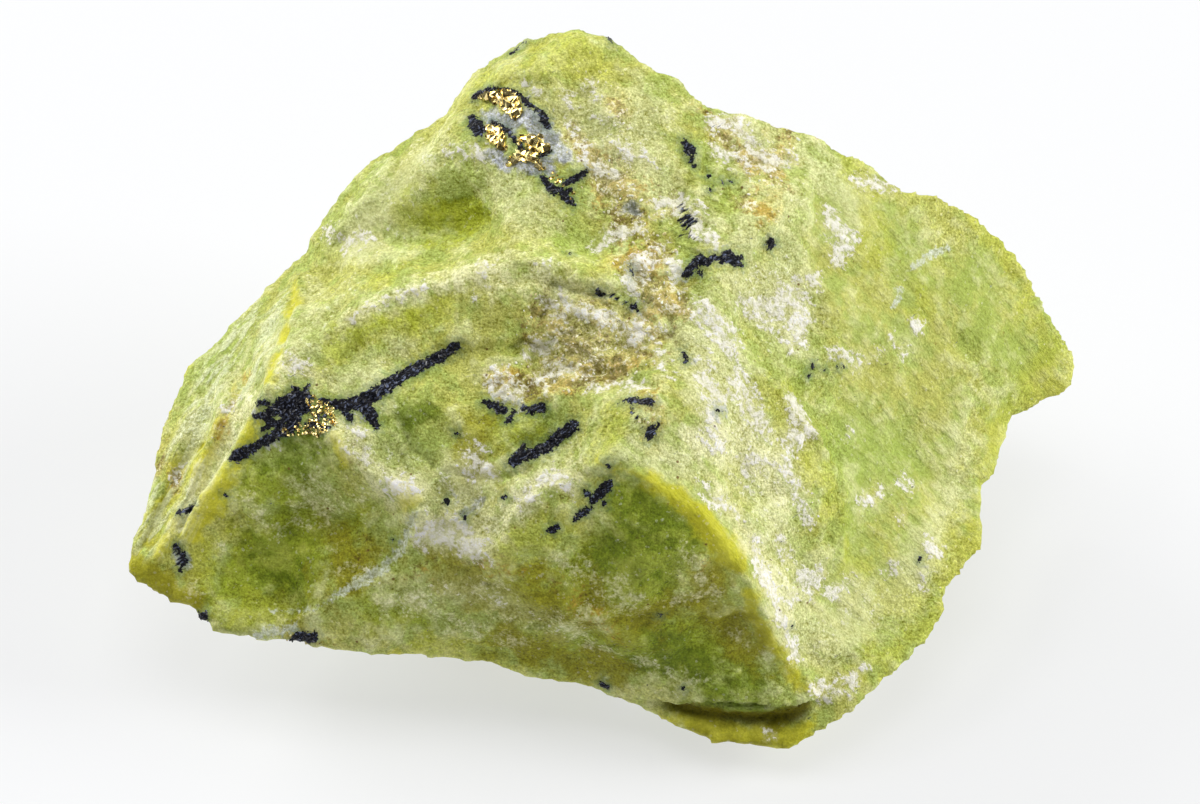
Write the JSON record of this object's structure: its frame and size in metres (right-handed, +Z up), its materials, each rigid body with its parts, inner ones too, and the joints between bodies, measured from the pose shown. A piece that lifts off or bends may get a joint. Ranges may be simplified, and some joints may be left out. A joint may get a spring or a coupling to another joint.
{
  "type": "serpentine rock specimen",
  "caption": "Broken hand specimen of waxy yellow-green serpentine with sharp crests, a rough pocket and dark mineral streaks, resting on a small flat spot.",
  "frame": {"origin": "point of the small flat resting spot right under the centre of mass", "axes": "+X to the right along the long way of the stone, +Y to the back, +Z up"},
  "size_m": [0.072, 0.0477, 0.0389],
  "materials": {
    "serpentine": "waxy, finely granular broken stone"
  },
  "bodies": {
    "root": {"serpentine_rock": "serpentine"}
  },
  "joints": []
}
